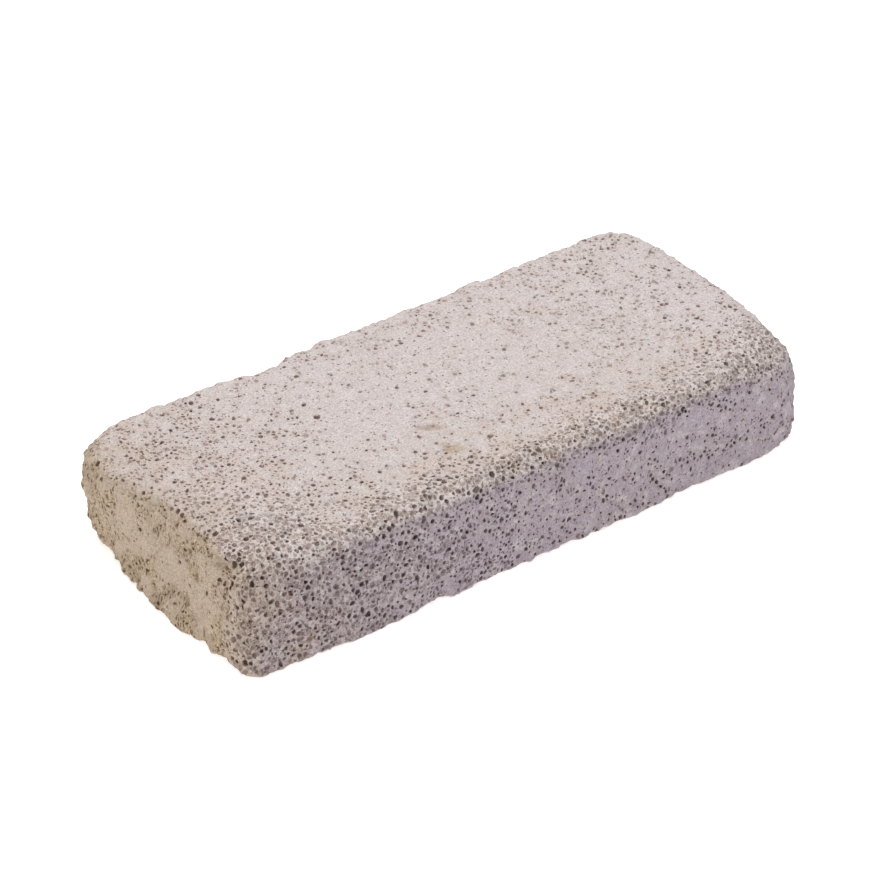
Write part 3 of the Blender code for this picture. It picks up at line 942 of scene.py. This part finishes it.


# The colour of the solid stone, before pores: by side, the upright sides darker and more lilac than the
# top, partly their own tone and partly painted shade; then warm, pale, torn, stained, gritty and rusty.
def stoneColour(tree, place, turned, side, broken, torn):
    strength = look["strength"]
    fromMiddle = addNode(tree, "SeparateXYZ", {"Vector": place}).outputs["Y"]
    upright = mix(tree, ramp(tree, fromMiddle, -8.0, 20.0), look["side"], look["back"])
    colour = mix(tree, side, look["top"], upright)
    creamy = times(tree, patches(tree, place, "cream"), attribute(tree, "warm"))
    # the cream on the upright sides is darker too, partly as painted shade
    cream = mix(tree, side, look["cream"], look["sideCream"])
    colour = mix(tree, creamy, colour, cream)
    pale = times(tree, patches(tree, place, "white"), strength["white"])
    colour = mix(tree, pale, colour, look["white"])
    colour = mix(tree, attribute(tree, "tan"), colour, look["broken"])
    colour = mix(tree, torn, colour, look["torn"])
    stain = stainGroup()
    for centre, size, tint in look["stains"]:
        values = {"Place": turned, "Centre": centre, "Size": size, "Ragged": look["stainRagged"]}
        mask = times(tree, effect(tree, stain, values)["Mask"], strength["stain"])
        colour = mix(tree, mask, colour, tint)
    grit = times(tree, patches(tree, place, "grit"), torn)
    colour = mix(tree, grit, colour, look["grit"])
    crumbs = times(tree, patches(tree, place, "crumbs"), ramp(tree, torn, 0.0, 0.8, 0.15, 0.95))
    colour = darken(tree, times(tree, crumbs, broken), colour, look["shade"])
    rusty = times(tree, patches(tree, place, "rust"), broken)
    return mix(tree, times(tree, rusty, strength["rust"]), colour, look["rust"])


# How many specks of each kind there are, as a share of the places.
def speckAmounts(tree, place, foamed, torn):
    scattered = attribute(tree, "scatter")
    gathered = patches(tree, place, "gathered")
    single = times(tree, gathered, ramp(tree, scattered, 0.1, 1.0, 0.04, 0.34))
    pinned = times(tree, gathered, ramp(tree, scattered, 0.3, 1.0, 0.12, 0.58))
    return {
        "few": look["fewSpecks"],
        "single": calculate(tree, "MAXIMUM", single, ramp(tree, foamed, 0.2, 1.0, 0.0, 0.34)),
        "pinned": calculate(tree, "MAXIMUM", pinned, ramp(tree, foamed, 0.2, 1.0, 0.0, 0.55)),
        "cracked": ramp(tree, torn, 0.0, 0.6, 0.06, 0.72),
        "shredded": ramp(tree, torn, 0.0, 0.6, 0.1, 0.85),
    }


def pumiceMaterial():
    material = bpy.data.materials.new("pumice")
    material.use_nodes = True
    tree = material.node_tree
    shader = tree.nodes["Principled BSDF"]
    shader.inputs["Specular IOR Level"].default_value = look["dullness"]
    strength = look["strength"]
    coords = addNode(tree, "TexCoord").outputs["Object"]
    place = mapped(tree, coords, "Scale", (1000, 1000, 1000))
    streaked = mapped(tree, coords, "Scale", (1000, 1000, 1000 * look["streaked"]))
    turned = mapped(tree, place, "Rotation", (0, 0, math.radians(look["turn"])))
    places = {
        "straight": place,
        "drawn": mapped(tree, turned, "Scale", (1.0, look["drawnOut"], 1.0)),
        "streaked": streaked,
    }
    foamed = attribute(tree, "foam")
    broken = attribute(tree, "broken")
    torn = attribute(tree, "torn")
    side = attribute(tree, "side")
    colour = stoneColour(tree, place, turned, side, broken, torn)
    # grain, smudges and a darker fringe round each pore over the whole stone
    fine = effect(tree, grainGroup(), {"Place": place, "Scale": look["grainScale"]})["Value"]
    colour = darken(tree, 1.0, colour, ramp(tree, fine, 0.28, 0.72, 0.6, 1.26))
    smudged = times(tree, patches(tree, place, "smudge"), ramp(tree, foamed, 0.0, 0.8, 0.42, 0.2))
    colour = darken(tree, smudged, colour, look["shade"])
    fringe = times(tree, attribute(tree, "fringe"), ramp(tree, foamed, 0.0, 0.6, 0.7, 0.0))
    colour = darken(tree, fringe, colour, look["fringe"])
    # foam cells and the hollows of the broken end, both darker: the cells partly by their own colour and
    # partly by painted shade, the hollows by painted shade
    values = {"Place": place, "Scale": look["cellScale"], "Amount": ramp(tree, foamed, 0.2, 1.0, 0.0, 0.55)}
    cells = effect(tree, cellGroup(), values)
    tone = mix(tree, cells["Dark"], look["shade"], look["shallowPore"])
    colour = darken(tree, times(tree, cells["Hollow"], strength["cells"]), colour, tone)
    walls = times(tree, cells["Wall"], ramp(tree, side, 0.0, 1.0, 1.0, 0.25))
    colour = mix(tree, walls, colour, look["wall"])
    # painted shade, deepest in the hollows of the broken end
    hollow = times(tree, attribute(tree, "hollow"), strength["hollow"])
    colour = darken(tree, hollow, colour, look["shallowPore"])
    # specks: faint smudges, and small pores and cracks that are only bumps in the surface, darkened partly
    # by their own colour and partly by painted shade
    pinPores = pinPoreGroup()
    amounts = speckAmounts(tree, place, foamed, torn)
    specks = cells["Hollow"]
    for where, amount, scale, largest, share, tint in look["specks"]:
        values = {"Place": places[where], "Scale": scale, "Amount": amounts[amount], "Largest": largest}
        pins = effect(tree, pinPores, values)
        tone = mix(tree, pins["Dark"], look["shallowPore"], look[tint])
        colour = darken(tree, times(tree, pins["Mask"], share), colour, tone)
        specks = calculate(tree, "MAXIMUM", specks, pins["Mask"])
    # the insides of the pores in the surface, darker: partly their own colour and partly painted shade
    uneven = calculate(tree, "SUBTRACT", noise(tree, place, 1.5, 2.0, 0.5), 0.5)
    dark = calculate(tree, "MULTIPLY_ADD", uneven, 1.6, attribute(tree, "poreDark"))
    inside = mix(tree, ramp(tree, dark, 0.1, 1.0), look["shallowPore"], look["deepPore"])
    sunk = times(tree, ramp(tree, attribute(tree, "poreDepth"), 0.0, 0.4), strength["pore"])
    colour = darken(tree, sunk, colour, inside)
    tree.links.new(colour, shader.inputs["Base Color"])
    tree.links.new(ramp(tree, fine, 0.3, 0.7, 0.98, 0.86), shader.inputs["Roughness"])
    heights = calculate(tree, "MULTIPLY_ADD", specks, -1.4, fine)
    values = {"Strength": 1.0, "Distance": look["bumpHeight"], "Height": heights}
    tree.links.new(addNode(tree, "Bump", values).outputs["Normal"], shader.inputs["Normal"])
    return material


piece.data.materials.clear()
piece.data.materials.append(pumiceMaterial())
print("stone: material made")


# Studio: pale floor, soft light and the camera.
studio = {
    "azimuth": -37.61,  # degrees from the front
    "elevation": 32.38,
    "distance": 692.66 * mm,
    "aim": (0.415 * mm, 3.6 * mm, 7.45 * mm),
    "lens": 164.4,
    "clip": 0.01,
    "floorSize": 4.0,
    "floorHeight": -0.0002,
    "floorColour": (0.9, 0.9, 0.9, 1),
    "floorGlow": 0.56,
    "lights": (  # name, place, size, power and colour
        ("top", (0.1, 0.15, 1.0), 0.9, 9.5, (1, 1, 1)),
        ("left", (-0.9, -0.1, 0.5), 0.6, 2.2, (1, 0.97, 0.92)),
        ("front", (0.3, -1.0, 0.4), 0.6, 0.4, (0.96, 0.96, 1)),
    ),
    "softLight": 0.33,
    "backdrop": 1.0,
}


def addCamera():
    a = math.radians(studio["azimuth"])
    e = math.radians(studio["elevation"])
    back = Vector((math.sin(a) * math.cos(e), -math.cos(a) * math.cos(e), math.sin(e)))
    data = bpy.data.cameras.new("camera")
    data.lens = studio["lens"]
    data.clip_start = studio["clip"]
    camera = bpy.data.objects.new("camera", data)
    camera.location = Vector(studio["aim"]) + back * studio["distance"]
    camera.rotation_mode = "QUATERNION"
    camera.rotation_quaternion = (-back).to_track_quat("-Z", "Y")
    scene.collection.objects.link(camera)
    scene.camera = camera


def addFloor():
    bpy.ops.mesh.primitive_plane_add(size=studio["floorSize"], location=(0, 0, studio["floorHeight"]))
    floor = bpy.context.object
    floor.name = "floor"
    material = bpy.data.materials.new("floor")
    material.use_nodes = True
    inputs = material.node_tree.nodes["Principled BSDF"].inputs
    inputs["Base Color"].default_value = studio["floorColour"]
    inputs["Emission Color"].default_value = (1, 1, 1, 1)
    inputs["Emission Strength"].default_value = studio["floorGlow"]
    floor.data.materials.append(material)


def addLight(name, place, size, power, colour):
    data = bpy.data.lights.new(name, "AREA")
    data.size = size
    data.energy = power
    data.color = colour
    light = bpy.data.objects.new(name, data)
    light.location = place
    light.rotation_mode = "QUATERNION"
    light.rotation_quaternion = (-Vector(place)).to_track_quat("-Z", "Y")
    scene.collection.objects.link(light)


# The world lights the stone softly; behind the floor's far edge it shows as pale as the floor.
def addWorld():
    world = scene.world or bpy.data.worlds.new("world")
    scene.world = world
    world.use_nodes = True
    tree = world.node_tree
    soft = tree.nodes["Background"]
    soft.inputs["Color"].default_value = (1, 1, 1, 1)
    soft.inputs["Strength"].default_value = studio["softLight"]
    shown = addNode(tree, "Background", {"Color": (1, 1, 1, 1), "Strength": studio["backdrop"]})
    seen = addNode(tree, "LightPath").outputs["Is Camera Ray"]
    both = addNode(tree, "MixShader", {0: seen, 1: soft.outputs[0], 2: shown.outputs[0]})
    tree.links.new(both.outputs[0], tree.nodes["World Output"].inputs["Surface"])


addCamera()
addFloor()
for light in studio["lights"]:
    addLight(*light)
addWorld()
scene.view_settings.view_transform = "Standard"
print("studio: camera, floor,", len(studio["lights"]), "lights and world")
